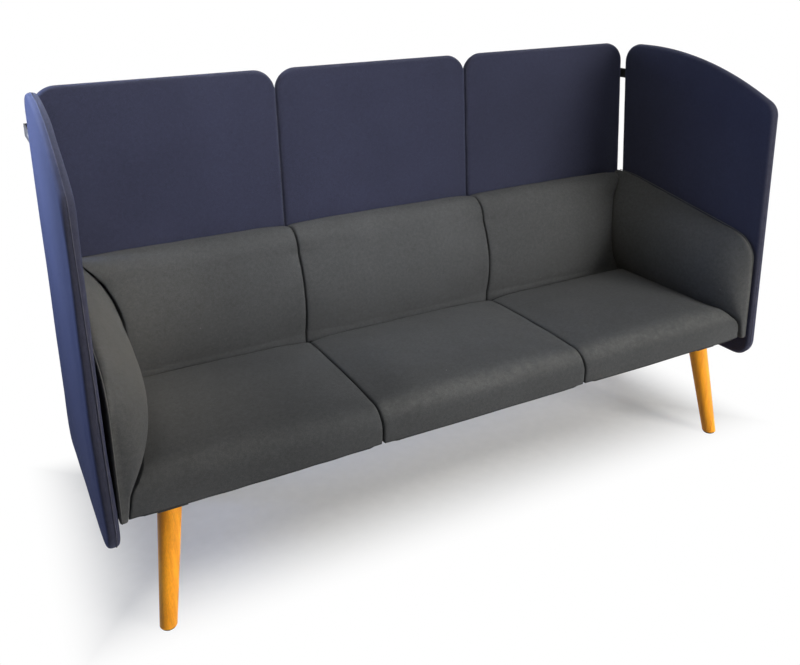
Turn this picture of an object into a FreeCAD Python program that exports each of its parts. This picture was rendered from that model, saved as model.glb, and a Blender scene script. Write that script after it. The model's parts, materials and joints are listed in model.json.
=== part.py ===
"""Three-seat office lounge sofa with padded screens behind it and at both ends.

Millimetres. X runs along the sofa, Y from front to back, Z up from the floor.
Shapes are drawn with Y = 0 at the front of the seat and moved to the middle of
the sofa when they are written. Backs and back screens are drawn upright and
then leaned back together. The right arm and its screen are drawn upright, leaned
inwards together and mirrored for the left end.
"""
import FreeCAD, Part
import math
import os

from FreeCAD import Vector

# Seats
seat_pitch = 640.0
cushion_gap = 4.0
seat_bottom_z = 328.0
seat_thickness = 110.0
seat_depth = 482.0
seat_belly = 4.0
seat_roll_height = 54.0
seat_roll_depth = 60.0
seat_front_fall = 6.0
seat_rear_fall = 5.0
seat_rear_roll = 27.0
seat_draw_top = 11.0
seat_draw_front = 6.0

# Backs: depths forward of the back screens, heights above the underside of the seat
back_lean_deg = 2.42
back_cushion_end_inset = 16.0
back_top_height = 424.0
back_top_depth = 42.0
back_top_fall = 5.0
back_shoulder_height = 355.0
back_shoulder_depth = 102.0
back_belly_height = 198.0
back_belly_depth = 136.0
back_waist_depth = 119.0
back_foot_depth = 113.0
back_draw_front = 11.0
back_draw_top = 7.0
back_board_end_inset = 124.0
back_board_height = 400.0

# Arms: depths inwards from the side screens, heights above the underside of the seat
side_face_offset = 4.0
side_lean_deg = 0.3
arm_front_y = -8.0
arm_rear_inset = 9.0
arm_front_height = 324.0
arm_rear_height = 428.0
arm_slope_deg = 11.0
arm_front_corner = 70.0
arm_foot_corner = 10.0
arm_belly = 119.0
arm_front_edge = 20.0
arm_belly_run = 320.0
arm_belly_power = 0.36
arm_foot_depth = 25.0
arm_foot_edge = 12.0
arm_waist_height = 60.0
arm_waist_step = 12.0
arm_top_depth = 20.0
arm_top_roll = 12.0
arm_board_margin = 26.0

# Screens: drops and rises from the underside of the seat, runs along the top of a side screen
screen_thickness = 32.0
screen_padding = 8.0
screen_edge_radius = 12.8
screen_edge_flat = 4.0
screen_corner = 62.0
back_screen_drop = 20.0
back_screen_overhang = 12.0
side_screen_drop = 71.0
screen_slot_margin = 80.0
screen_slot_corner = 1.0
back_screen_rise = 870.0
side_screen_rise = 869.0
side_screen_front_y = -13.0
side_screen_rear_gap = 22.0
side_screen_flat = 94.0
side_screen_front_run = 57.0
side_screen_slope_deg = 26.4
side_screen_front_corner = 50.0
side_screen_foot_corner = 60.0

# Boards, uprights and underframe
board_thickness = 15.0
board_inset = 8.0
board_corner = 1.0
seat_board_arm_margin = 30.0
upright_thickness = 8.0
back_upright_width = 80.0
back_upright_height = 370.0
end_upright_inset = 165.0
arm_upright_width = 60.0
front_arm_upright_y = 150.0
front_arm_upright_height = 285.0
rear_arm_upright_inset = 147.0
rear_arm_upright_height = 345.0
rail_width = 40.0
rail_height = 24.0
rail_wall = 2.0
front_rail_y = 78.0

# Legs and levelling glides
leg_inset = 119.0
leg_splay_x = 40.0
leg_splay_y = 44.0
leg_top_radius = 28.5
leg_foot_radius = 20.5
leg_plate_size = 70.0
leg_plate_thickness = 5.0
glide_radius = 18.0
glide_foot_radius = 16.0
glide_bevel = 2.0
glide_height = 6.0
glide_stem_radius = 3.95
glide_stem_length = 38.0
insert_radius = 6.5
insert_length = 24.0

# Fasteners
leg_stud_radius = 5.0
leg_stud_depth = 45.0
leg_nut_radius = 9.0
leg_nut_height = 8.0
seat_bolt_radius = 3.0
seat_bolt_head_radius = 5.5
seat_bolt_head_height = 4.0
seat_bolt_skin = 4.0
seat_bolt_spread = 150.0
screw_radius = 2.2
screw_head_radius = 4.4
board_screw_skin = 3.0
screen_bolt_radius = 3.0
screen_bolt_head_radius = 5.6
screen_bolt_skin = 2.0
back_screw_heights = (150.0, 290.0)
back_bolt_heights = (90.0, 340.0)
arm_screw_heights = (70.0, 200.0)
arm_bolt_heights = (40.0, 240.0)
seam_screw_offset = 27.0
seam_bolt_offset = 16.0
end_fastener_offset = 15.0

# Corner brackets
bracket_drop = 108.0
bracket_height = 32.0
bracket_thickness = 3.0
bracket_reach = 60.0
bracket_screw_places = (26.0, 47.0)
bracket_screw_reach = 20.0

# Clearances
soft_clearance = 1.5
seat_to_back_clearance = 2.0
steel_clearance = 1.0
thread_clearance = 0.05
stem_side_clearance = 0.4
stem_end_clearance = 6.0

# Sizes that follow from the ones above
half_pitch = seat_pitch / 2
half_gap = cushion_gap / 2
row_end_x = 3 * half_pitch
side_face_x = row_end_x + side_face_offset
seat_end_x = side_face_x - upright_thickness - board_thickness - steel_clearance
back_cushion_end_x = row_end_x - back_cushion_end_inset
back_board_end_x = row_end_x - back_board_end_inset
seat_board_end_x = side_face_x - upright_thickness - arm_foot_depth - seat_board_arm_margin
end_upright_x = row_end_x - end_upright_inset
leg_top_x = row_end_x - leg_inset
screen_edge_x = row_end_x + back_screen_overhang
seat_height = seat_bottom_z + seat_thickness
board_top_z = seat_bottom_z + board_thickness
back_screen_bottom_z = seat_bottom_z - back_screen_drop
side_screen_bottom_z = seat_bottom_z - side_screen_drop
back_screen_top_z = seat_bottom_z + back_screen_rise
side_screen_top_z = seat_bottom_z + side_screen_rise
bracket_z = back_screen_top_z - bracket_drop
back_face_y = seat_depth + seat_to_back_clearance + back_foot_depth
arm_rear_y = back_face_y - arm_rear_inset
rear_arm_upright_y = back_face_y - rear_arm_upright_inset
screen_edge_limit = (screen_thickness - screen_edge_flat) / 2
core_thickness = screen_thickness - 2 * screen_padding
seat_bolt_reach = board_thickness - seat_bolt_skin
board_screw_reach = board_thickness - board_screw_skin
screen_bolt_reach = screen_padding + core_thickness - screen_bolt_skin
back_slope = math.tan(math.radians(back_lean_deg))
side_slope = math.tan(math.radians(side_lean_deg))
arm_slope = math.tan(math.radians(arm_slope_deg))
rail_bottom_z = seat_bottom_z - rail_height
leg_top_z = rail_bottom_z - leg_plate_thickness
front_rail_back_y = front_rail_y + rail_width / 2
rear_rail_back_y = back_face_y - steel_clearance - rail_height * back_slope
rear_rail_y = rear_rail_back_y - rail_width / 2
rear_rail_front_y = rear_rail_y - rail_width / 2
rail_end_x = side_face_x - steel_clearance
end_rail_x = rail_end_x - rail_width / 2
seat_board_front_y = board_inset + seat_draw_front
seat_board_rear_y = back_face_y - upright_thickness - steel_clearance
sofa_rear_y = back_face_y + screen_thickness + (back_screen_top_z - seat_bottom_z) * back_slope
middle_y = (side_screen_front_y + sofa_rear_y) / 2
far = 2 * row_end_x

# Share of a rounded corner's radius that lies outside the middle of its arc
arc_inset = 1 - math.sqrt(0.5)
loft_degree = 2
angle_tolerance = 0.1

# Where the profiles of a soft piece stand, as shares of its half length or length
cushion_shares = (-1.0, -0.97, -0.9, -0.78, -0.5, 0.0, 0.5, 0.78, 0.9, 0.97, 1.0)
cushion_draw_power = 8
arm_nose_shares = (0.01, 0.05, 0.14, 0.33, 0.66, 1.0)
arm_length_shares = (0.12, 0.28, 0.45, 0.62, 0.8, 1.0)

# Left and right edge of each seat along the sofa
seat_edges = {
    "left": (-seat_end_x, -half_pitch - half_gap),
    "middle": (-half_pitch + half_gap, half_pitch - half_gap),
    "right": (half_pitch + half_gap, seat_end_x),
}
screen_edges = {
    "left": (-screen_edge_x, -half_pitch - half_gap),
    "middle": (-half_pitch + half_gap, half_pitch - half_gap),
    "right": (half_pitch + half_gap, screen_edge_x),
}
back_upright_places = {
    "left_end": -end_upright_x,
    "left_seam": -half_pitch,
    "right_seam": half_pitch,
    "right_end": end_upright_x,
}
arm_upright_places = {
    "front": (front_arm_upright_y, front_arm_upright_height),
    "rear": (rear_arm_upright_y, rear_arm_upright_height),
}
rail_places = {"front": front_rail_y, "rear": rear_rail_y}
cross_rail_places = {
    "left_end": -end_rail_x,
    "left_seam": -half_pitch,
    "right_seam": half_pitch,
    "right_end": end_rail_x,
}
leg_places = {
    "front_left": (-1, front_rail_y, -1),
    "front_right": (1, front_rail_y, -1),
    "rear_left": (-1, rear_rail_y, 1),
    "rear_right": (1, rear_rail_y, 1),
}


# Plain shapes and moves


def box(x0, x1, y0, y1, z0, z1):
    return Part.makeBox(x1 - x0, y1 - y0, z1 - z0, Vector(x0, y0, z0))


def rod(start, run, radius):
    return Part.makeCylinder(radius, run.Length, start, run)


def upright_rod(x, y, z0, z1, radius):
    return rod(Vector(x, y, z0), Vector(0, 0, z1 - z0), radius)


def mirrored(shape):
    return shape.mirror(Vector(0, 0, 0), Vector(1, 0, 0))


def lean_back(shape):
    """Turn an upright piece of the back about the foot of the back screens."""
    leaned = shape.copy()
    leaned.rotate(Vector(0, back_face_y, seat_bottom_z), Vector(1, 0, 0), -back_lean_deg)
    return leaned


def lean_in(shape):
    """Turn an upright piece of the right arm about the foot of its screen."""
    leaned = shape.copy()
    leaned.rotate(Vector(side_face_x, 0, seat_bottom_z), Vector(0, 1, 0), -side_lean_deg)
    return leaned


def above_frame(shape):
    """Trim a leaned piece level with the top of the underframe."""
    return shape.cut(box(-far, far, -far, far, 0, seat_bottom_z))


def wire(start, moves):
    """Closed wire: a move is an end point, or a point on an arc and its end point."""
    edges = []
    here = start
    for move in moves:
        if len(move) == 1:
            edges.append(Part.LineSegment(here, move[0]).toShape())
        else:
            edges.append(Part.Arc(here, move[0], move[1]).toShape())
        here = move[-1]
    return Part.Wire(edges)


def corner_facts(corners, index):
    """A corner, the directions to its neighbours, its bisector and half its angle."""
    corner = Vector(*corners[index][:2], 0)
    before = Vector(*corners[index - 1][:2], 0) - corner
    after = Vector(*corners[(index + 1) % len(corners)][:2], 0) - corner
    before.normalize()
    after.normalize()
    bisector = before + after
    bisector.normalize()
    return corner, before, after, bisector, before.getAngle(after) / 2


def rounded_outline(corners, to_point):
    """Closed wire of straight runs; each corner (u, v, radius) is a tangent arc."""
    arcs = []
    for index, (_, _, radius) in enumerate(corners):
        corner, before, after, bisector, half_angle = corner_facts(corners, index)
        run = radius / math.tan(half_angle)
        depth = radius / math.sin(half_angle) - radius
        points = (corner + before * run, corner + bisector * depth, corner + after * run)
        arcs.append([to_point(point.x, point.y) for point in points])
    edges = []
    for index, (start, middle, end) in enumerate(arcs):
        edges.append(Part.LineSegment(arcs[index - 1][2], start).toShape())
        edges.append(Part.Arc(start, middle, end).toShape())
    return Part.Wire(edges)


def inset_corners(corners, inset):
    """The same outline drawn in by an even margin."""
    inner = []
    for index, (_, _, radius) in enumerate(corners):
        corner, _, _, bisector, half_angle = corner_facts(corners, index)
        moved = corner + bisector * (inset / math.sin(half_angle))
        inner.append((moved.x, moved.y, radius - inset))
    return inner


def countersunk_screw(start, direction, length, radius, head_radius):
    """Screw with a flush cone head; start is the middle of the head's face."""
    head_depth = head_radius - radius
    head = Part.makeCone(head_radius, radius, head_depth, start, direction)
    return head.fuse(rod(start, direction * length, radius)).removeSplitter()


def loft(sections):
    """Closed solid through the sections, of low degree so that it can't wave between them."""
    return Part.makeLoft(sections, True, False, False, loft_degree)


# Soft pieces


def cushion_sections(x0, x1, profile):
    """Profiles along a cushion, drawn in towards its ends as a cover pulls it."""
    middle = (x0 + x1) / 2
    half = (x1 - x0) / 2
    sections = []
    for share in cushion_shares:
        sections.append(profile(middle + share * half, abs(share) ** cushion_draw_power))
    return sections


def clear_of_arm(form, place):
    """Trim an outer cushion where it is pressed against its arm."""
    if place == "right":
        return form.cut(arm_form(soft_clearance, back_belly_depth))
    if place == "left":
        return form.cut(mirrored(arm_form(soft_clearance, back_belly_depth)))
    return form


def seat_profile(x, draw):
    """Side profile of a seat cushion: upright front, rolled edge, nearly flat top."""
    top = seat_height - draw * seat_draw_top
    front = draw * seat_draw_front - seat_belly
    shoulder = top - seat_front_fall
    rear_top = top - seat_rear_fall
    roll_y = front + seat_roll_depth
    rear_y = seat_depth - seat_rear_roll
    front_roll = (front + seat_roll_depth * arc_inset, shoulder - seat_roll_height * arc_inset)
    rear_roll = (seat_depth - seat_rear_roll * arc_inset, rear_top - seat_rear_roll * arc_inset)

    def at(y, z):
        return Vector(x, y, z)

    return wire(
        at(seat_depth, seat_bottom_z),
        [
            (at(front + seat_belly, seat_bottom_z),),
            (at(front, shoulder - seat_roll_height),),
            (at(*front_roll), at(roll_y, shoulder)),
            (at((roll_y + rear_y) / 2, top), at(rear_y, rear_top)),
            (at(*rear_roll), at(seat_depth, rear_top - seat_rear_roll)),
            (at(seat_depth, seat_bottom_z),),
        ],
    )


def seat_cushion(place):
    form = loft(cushion_sections(*seat_edges[place], seat_profile))
    return clear_of_arm(form.cut(seat_board_blank(place)), place)


def edges_to(place, end_x):
    """Edges of a cushion or board whose outer end has a place of its own."""
    x0, x1 = seat_edges[place]
    if place == "left":
        x0 = -end_x
    if place == "right":
        x1 = end_x
    return x0, x1


def back_profile(x, draw):
    """Upright side profile of a back cushion: foot, waist, belly, shoulder, top."""
    drawn = draw * back_draw_front
    top = back_top_height - draw * back_draw_top
    foot = board_thickness + soft_clearance
    waist = seat_thickness
    step = back_board_height + soft_clearance
    shoulder = back_shoulder_height - draw * back_draw_top
    shoulder_depth = back_shoulder_depth - drawn
    crown_depth = shoulder_depth - (shoulder_depth - back_top_depth) * arc_inset
    crown = top - (top - shoulder) * arc_inset

    def at(depth, height):
        return Vector(x, back_face_y - depth, seat_bottom_z + height)

    return wire(
        at(upright_thickness, foot),
        [
            (at(back_foot_depth - drawn, foot),),
            (at(back_waist_depth - drawn, waist),),
            (at(back_belly_depth - drawn, back_belly_height), at(shoulder_depth, shoulder)),
            (at(crown_depth, crown), at(back_top_depth, top)),
            (at(soft_clearance, top - back_top_fall),),
            (at(soft_clearance, step),),
            (at(upright_thickness, step),),
            (at(upright_thickness, foot),),
        ],
    )


def back_cushion(place):
    form = loft(cushion_sections(*edges_to(place, back_cushion_end_x), back_profile))
    return clear_of_arm(lean_back(form.cut(back_board_blank(place))), place)


def corner_rise(run, radius):
    """Height between a rounded corner and its square, at a distance from its edge."""
    if run >= radius:
        return 0.0
    return radius - math.sqrt(radius**2 - (radius - run) ** 2)


def arm_section(run, grow):
    """Upright cross-section of the right arm: flat outside, bellied inside, narrow at the foot."""
    straight_top = min(arm_front_height + run * arm_slope, arm_rear_height)
    top = straight_top - corner_rise(run, arm_front_corner) + grow
    foot = corner_rise(run, arm_foot_corner) + soft_clearance - grow
    swell = (1 - (1 - min(run / arm_belly_run, 1.0)) ** 2) ** arm_belly_power
    outside = upright_thickness
    belly = outside + arm_front_edge + (arm_belly - arm_front_edge) * swell + grow
    foot_depth = outside + arm_foot_edge + (arm_foot_depth - arm_foot_edge) * swell + grow
    waist = foot + arm_waist_height
    top_depth = outside + arm_top_depth * swell + grow
    roll_depth = outside + (top_depth - outside) * arc_inset

    def at(depth, height):
        return Vector(side_face_x - depth, arm_front_y + run, seat_bottom_z + height)

    return wire(
        at(outside, foot),
        [
            (at(outside, top - arm_top_roll),),
            (at(roll_depth, top - arm_top_roll * arc_inset), at(top_depth, top)),
            (at(belly, (top + waist) / 2), at(foot_depth + arm_waist_step, waist)),
            (at(foot_depth, foot),),
            (at(outside, foot),),
        ],
    )


def arm_form(grow, extra_rear):
    """The right arm as a closed pillow, or grown as room for it in its neighbours."""
    length = arm_rear_y - arm_front_y
    nose = arm_front_corner
    runs = [nose * share for share in arm_nose_shares]
    runs += [nose + (length - nose) * share for share in arm_length_shares]
    if extra_rear:
        runs.append(length + extra_rear)
    return lean_in(loft([arm_section(run, grow) for run in runs]))


def arm_pad():
    """Foam and cover of the right arm, with a pocket open to the outside for its board."""
    return arm_form(0.0, 0.0).cut(lean_in(arm_board_blank(upright_thickness)))


# Boards


def seat_board_blank(place):
    x0, x1 = edges_to(place, seat_board_end_x)
    return box(
        x0 + board_inset,
        x1 - board_inset,
        seat_board_front_y,
        seat_board_rear_y,
        seat_bottom_z,
        board_top_z,
    )


def back_board_blank(place):
    x0, x1 = edges_to(place, back_board_end_x)
    rear = back_face_y - upright_thickness
    return box(
        x0 + board_inset,
        x1 - board_inset,
        rear - board_thickness,
        rear,
        board_top_z + soft_clearance,
        seat_bottom_z + back_board_height,
    )


def arm_board_blank(proud):
    """Upright board of the right arm, or its pocket, proud of the arm's outside."""
    front = arm_front_y + arm_board_margin
    rear = arm_rear_y - arm_board_margin
    top = arm_rear_height - arm_board_margin
    front_top = arm_front_height - arm_board_margin + arm_board_margin * arm_slope
    bend_y = front + (top - front_top) / arm_slope
    outside = side_face_x - upright_thickness + proud
    corners = (
        (front, -board_thickness, board_corner),
        (rear, -board_thickness, board_corner),
        (rear, top, arm_board_margin / 2),
        (min(bend_y, rear - arm_board_margin), top, arm_front_corner),
        (front, front_top, arm_front_corner - arm_board_margin),
    )
    outline = rounded_outline(corners, lambda y, h: Vector(outside, y, seat_bottom_z + h))
    return Part.Face(outline).extrude(Vector(-board_thickness - proud, 0, 0))


# Screens


def screen_pieces(corners, to_point, across):
    """Core board and padded sleeve of one screen, from its outline and its direction."""

    def slab(outline_corners, depth, thickness):
        outline = rounded_outline(outline_corners, lambda u, v: to_point(u, v) + across * depth)
        return Part.Face(outline).extrude(across * thickness)

    sleeve = slab(corners, 0.0, screen_thickness)
    rims = []
    for edge in sleeve.Edges:
        direction = edge.tangentAt(edge.FirstParameter)
        if not direction.isParallel(across, angle_tolerance):
            rims.append(edge)
    sleeve = sleeve.makeFillet(min(screen_edge_radius, screen_edge_limit), rims)
    core = slab(inset_corners(corners, screen_padding), screen_padding, core_thickness)
    low = min(u for u, _, _ in corners) + screen_slot_margin
    high = max(u for u, _, _ in corners) - screen_slot_margin
    bottom = min(v for _, v, _ in corners)
    under = bottom - screen_padding
    inside = bottom + screen_padding
    slot_places = ((low, under), (high, under), (high, inside), (low, inside))
    slot_corners = [(u, v, screen_slot_corner) for u, v in slot_places]
    slot = slab(slot_corners, screen_padding, core_thickness)
    return sleeve.cut(core).cut(slot), core


def back_screen(place):
    x0, x1 = screen_edges[place]
    corners = (
        (x0, back_screen_bottom_z, screen_corner),
        (x1, back_screen_bottom_z, screen_corner),
        (x1, back_screen_top_z, screen_corner),
        (x0, back_screen_top_z, screen_corner),
    )
    pieces = screen_pieces(corners, lambda x, z: Vector(x, back_face_y, z), Vector(0, 1, 0))
    return [lean_back(piece) for piece in pieces]


def side_screen_rear(z):
    return back_face_y - side_screen_rear_gap + (z - seat_bottom_z) * back_slope


def side_screen():
    """Sleeve and core of the right screen, whose top falls in a long arc to the front."""
    bottom = side_screen_bottom_z
    top = side_screen_top_z
    slope = math.radians(side_screen_slope_deg)
    bend_start = side_screen_rear(top) - side_screen_flat
    bend_end = side_screen_front_y + side_screen_front_run
    bend_radius = (bend_start - bend_end) / math.sin(slope)
    bend_y = bend_start - bend_radius * math.tan(slope / 2)
    fall = (bend_y - side_screen_front_y) * math.tan(slope)
    corners = (
        (side_screen_front_y, bottom, side_screen_foot_corner),
        (side_screen_rear(bottom), bottom, screen_corner),
        (side_screen_rear(top), top, screen_corner),
        (bend_y, top, bend_radius),
        (side_screen_front_y, top - fall, side_screen_front_corner),
    )
    pieces = screen_pieces(corners, lambda y, z: Vector(side_face_x, y, z), Vector(1, 0, 0))
    return [lean_in(piece) for piece in pieces]


# Steel


def rail(length_axis, x0, x1, y0, y1):
    """Rectangular tube along X or Y, open at both ends."""
    tube = box(x0, x1, y0, y1, rail_bottom_z, seat_bottom_z)
    wall_x = 0 if length_axis == "X" else rail_wall
    wall_y = 0 if length_axis == "Y" else rail_wall
    inside = box(
        x0 + wall_x,
        x1 - wall_x,
        y0 + wall_y,
        y1 - wall_y,
        rail_bottom_z + rail_wall,
        seat_bottom_z - rail_wall,
    )
    return tube.cut(inside)


def long_rail(y):
    return rail("X", -rail_end_x, rail_end_x, y - rail_width / 2, y + rail_width / 2)


def cross_rail(x):
    return rail("Y", x - rail_width / 2, x + rail_width / 2, front_rail_back_y, rear_rail_front_y)


def back_upright(x):
    bar = box(
        x - back_upright_width / 2,
        x + back_upright_width / 2,
        back_face_y - upright_thickness,
        back_face_y,
        seat_bottom_z - rail_height,
        seat_bottom_z + back_upright_height,
    )
    return above_frame(lean_back(bar))


def arm_upright(y, height):
    bar = box(
        side_face_x - upright_thickness,
        side_face_x,
        y - arm_upright_width / 2,
        y + arm_upright_width / 2,
        seat_bottom_z - rail_height,
        seat_bottom_z + height,
    )
    return above_frame(lean_in(bar))


def corner_bracket():
    """Right corner: a leaf outside the side screen and a leaf behind the back screen."""
    rise = bracket_z - seat_bottom_z
    low = bracket_z - bracket_height
    high = bracket_z + bracket_height
    outside_x = side_face_x + screen_thickness
    behind_y = back_face_y + screen_thickness
    corner_x = outside_x + bracket_thickness - rise * side_slope
    corner_y = behind_y + bracket_thickness + rise * back_slope
    side_start = side_screen_rear(bracket_z) - bracket_reach
    side_leaf = box(outside_x, outside_x + bracket_thickness, side_start, corner_y, low, high)
    back_start = screen_edge_x - bracket_reach
    back_leaf = box(back_start, corner_x, behind_y, behind_y + bracket_thickness, low, high)
    both = lean_in(side_leaf).fuse(lean_back(back_leaf))
    band = box(0, far, -far, far, bracket_z - bracket_height / 2, bracket_z + bracket_height / 2)
    return both.common(band).removeSplitter()


def leg_plate(x, y):
    half = leg_plate_size / 2
    return box(x - half, x + half, y - half, y + half, leg_top_z, rail_bottom_z)


# Legs and glides


def leg_ends(place):
    """Middle of the leg's top and of its foot, which stands further out."""
    side, y, way = leg_places[place]
    top = Vector(side * leg_top_x, y, leg_top_z)
    foot = Vector(side * (leg_top_x + leg_splay_x), y + way * leg_splay_y, glide_height)
    return top, foot


def leg_blank(place):
    top, foot = leg_ends(place)
    up = Vector(0, 0, 1)
    circles = [
        Part.Wire(Part.makeCircle(leg_foot_radius, foot, up)),
        Part.Wire(Part.makeCircle(leg_top_radius, top, up)),
    ]
    return Part.makeLoft(circles, True, True)


def leg(place):
    """Turned leg with level ends, bored for its stud and for the glide and its insert."""
    _, foot = leg_ends(place)
    insert_top = foot.z + insert_length
    stem_top = foot.z + glide_stem_length + stem_end_clearance
    stem_room = glide_stem_radius + stem_side_clearance
    bore = upright_rod(foot.x, foot.y, insert_top, stem_top, stem_room)
    seat = upright_rod(foot.x, foot.y, foot.z, insert_top, insert_radius)
    return leg_blank(place).cut(bore).cut(seat).cut(leg_stud(place))


def leg_stud(place):
    """Stud from the leg through the plate into a nut inside the rail."""
    top, _ = leg_ends(place)
    nut_z = rail_bottom_z + rail_wall
    nut_top = nut_z + leg_nut_height
    stud = upright_rod(top.x, top.y, top.z - leg_stud_depth, nut_top, leg_stud_radius)
    nut = upright_rod(top.x, top.y, nut_z, nut_top, leg_nut_radius)
    return stud.fuse(nut).removeSplitter()


def glide_insert(place):
    _, foot = leg_ends(place)
    top = foot.z + insert_length
    bore_radius = glide_stem_radius + thread_clearance
    sleeve = upright_rod(foot.x, foot.y, foot.z, top, insert_radius)
    return sleeve.cut(upright_rod(foot.x, foot.y, foot.z, top, bore_radius))


def glide(place):
    _, foot = leg_ends(place)
    base = Vector(foot.x, foot.y, 0)
    bevel = Part.makeCone(glide_foot_radius, glide_radius, glide_bevel, base)
    pad = upright_rod(foot.x, foot.y, glide_bevel, glide_height, glide_radius)
    stem = upright_rod(foot.x, foot.y, glide_height, glide_height + glide_stem_length, glide_stem_radius)
    return bevel.fuse(pad).fuse(stem).removeSplitter()


# Fasteners


def seat_bolt(x, y):
    """Bolt from under a rail up into a seat board."""
    shank = upright_rod(x, y, rail_bottom_z, seat_bottom_z + seat_bolt_reach, seat_bolt_radius)
    head_bottom = rail_bottom_z - seat_bolt_head_height
    head = upright_rod(x, y, head_bottom, rail_bottom_z, seat_bolt_head_radius)
    return shank.fuse(head).removeSplitter()


def seat_bolt_group():
    bolts = []
    for x0, x1 in seat_edges.values():
        middle = (x0 + x1) / 2
        for x in (middle - seat_bolt_spread, middle + seat_bolt_spread):
            for y in rail_places.values():
                bolts.append(seat_bolt(x, y))
    return bolts


def back_fastener_places(seam_offset, end_offset):
    """Places along the sofa where the three backs or screens are held on the uprights."""
    seam_places = [half_pitch - seam_offset, half_pitch + seam_offset]
    right = seam_places + [end_upright_x + end_offset]
    return right + [-x for x in right]


def board_screw_group():
    """Screws through the uprights into the back boards and arm boards."""
    reach = upright_thickness + board_screw_reach
    screws = []
    for x in back_fastener_places(seam_screw_offset, -end_fastener_offset):
        for height in back_screw_heights:
            start = Vector(x, back_face_y, seat_bottom_z + height)
            screw = countersunk_screw(start, Vector(0, -1, 0), reach, screw_radius, screw_head_radius)
            screws.append(lean_back(screw))
    for y, _ in arm_upright_places.values():
        for height in arm_screw_heights:
            start = Vector(side_face_x, y, seat_bottom_z + height)
            screw = countersunk_screw(start, Vector(-1, 0, 0), reach, screw_radius, screw_head_radius)
            screws.append(lean_in(screw))
            screws.append(mirrored(lean_in(screw)))
    return screws


def screen_bolt_group():
    """Bolts through the uprights into the cores of the screens."""
    reach = upright_thickness + screen_bolt_reach
    sizes = (reach, screen_bolt_radius, screen_bolt_head_radius)
    bolts = []
    for x in back_fastener_places(seam_bolt_offset, end_fastener_offset):
        for height in back_bolt_heights:
            start = Vector(x, back_face_y - upright_thickness, seat_bottom_z + height)
            bolts.append(lean_back(countersunk_screw(start, Vector(0, 1, 0), *sizes)))
    for y, _ in arm_upright_places.values():
        for height in arm_bolt_heights:
            start = Vector(side_face_x - upright_thickness, y, seat_bottom_z + height)
            bolt = lean_in(countersunk_screw(start, Vector(1, 0, 0), *sizes))
            bolts.append(bolt)
            bolts.append(mirrored(bolt))
    return bolts


def bracket_screw_group():
    """Screws through both leaves of each corner bracket into the screens."""
    sizes = (bracket_screw_reach, screw_radius, screw_head_radius)
    screws = []
    for place in bracket_screw_places:
        outside_x = side_face_x + screen_thickness + bracket_thickness
        side_start = Vector(outside_x, side_screen_rear(bracket_z) - place, bracket_z)
        screws.append(lean_in(countersunk_screw(side_start, Vector(-1, 0, 0), *sizes)))
        behind_y = back_face_y + screen_thickness + bracket_thickness
        back_start = Vector(screen_edge_x - place, behind_y, bracket_z)
        screws.append(lean_back(countersunk_screw(back_start, Vector(0, -1, 0), *sizes)))
    return screws + [mirrored(screw) for screw in screws]


# Assembly


def drilled(shape, fasteners):
    """Cut the fasteners that pass through a piece out of it."""
    box_of_shape = shape.BoundBox
    near = [fastener for fastener in fasteners if box_of_shape.intersect(fastener.BoundBox)]
    return shape.cut(Part.makeCompound(near)) if near else shape


def build():
    """Every piece of the sofa by name."""
    seat_bolts = seat_bolt_group()
    board_screws = board_screw_group()
    screen_bolts = screen_bolt_group()
    bracket_screws = bracket_screw_group()
    leg_studs = [leg_stud(place) for place in leg_places]
    pieces = {}

    for name, y in rail_places.items():
        pieces[name + "_rail"] = drilled(long_rail(y), seat_bolts + leg_studs)
    for name, x in cross_rail_places.items():
        pieces["cross_rail_" + name] = cross_rail(x)

    for place in leg_places:
        top, _ = leg_ends(place)
        pieces["leg_plate_" + place] = drilled(leg_plate(top.x, top.y), leg_studs)
        pieces["leg_" + place] = leg(place)
        pieces["glide_" + place] = glide(place)

    for place in seat_edges:
        pieces["seat_board_" + place] = drilled(seat_board_blank(place), seat_bolts)
        pieces["seat_cushion_" + place] = seat_cushion(place)
        pieces["back_board_" + place] = drilled(lean_back(back_board_blank(place)), board_screws)
        pieces["back_cushion_" + place] = back_cushion(place)
        sleeve, core = back_screen(place)
        fixings = screen_bolts + bracket_screws
        pieces["back_screen_cover_" + place] = drilled(sleeve, fixings)
        pieces["back_screen_core_" + place] = drilled(core, fixings)

    for name, x in back_upright_places.items():
        pieces["back_upright_" + name] = drilled(back_upright(x), board_screws + screen_bolts)

    right = {"arm_pad": arm_pad(), "arm_board": above_frame(lean_in(arm_board_blank(0.0)))}
    for name, (y, height) in arm_upright_places.items():
        right["arm_upright_" + name] = arm_upright(y, height)
    right["side_screen_cover"], right["side_screen_core"] = side_screen()
    right["corner_bracket"] = corner_bracket()
    fixings = board_screws + screen_bolts + bracket_screws
    for name, shape in right.items():
        made = shape if name == "arm_pad" else drilled(shape, fixings)
        pieces[name + "_right"] = made
        pieces[name + "_left"] = mirrored(made)

    pieces["leg_studs"] = Part.makeCompound(leg_studs)
    pieces["glide_inserts"] = Part.makeCompound([glide_insert(place) for place in leg_places])
    pieces["seat_bolts"] = Part.makeCompound(seat_bolts)
    pieces["board_screws"] = Part.makeCompound(board_screws)
    pieces["screen_bolts"] = Part.makeCompound(screen_bolts)
    pieces["bracket_screws"] = Part.makeCompound(bracket_screws)
    return pieces


def write(pieces):
    os.makedirs("parts", exist_ok=True)
    for name, shape in pieces.items():
        placed = shape.copy()
        placed.translate(Vector(0, -middle_y, 0))
        placed.exportStep("parts/" + name + ".step")
        solids = placed.Solids
        volume = sum(solid.Volume for solid in solids) / 1000
        print(f"{name}: {len(solids)} solid, {volume:.1f} cm3, valid {placed.isValid()}")


write(build())
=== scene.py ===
"""Looks of a three-seat office lounge sofa with padded screens, built on its CAD frame.

Metres. X runs along the sofa, Y from front to back, Z up from the floor.
"""

import json
import math

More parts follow.
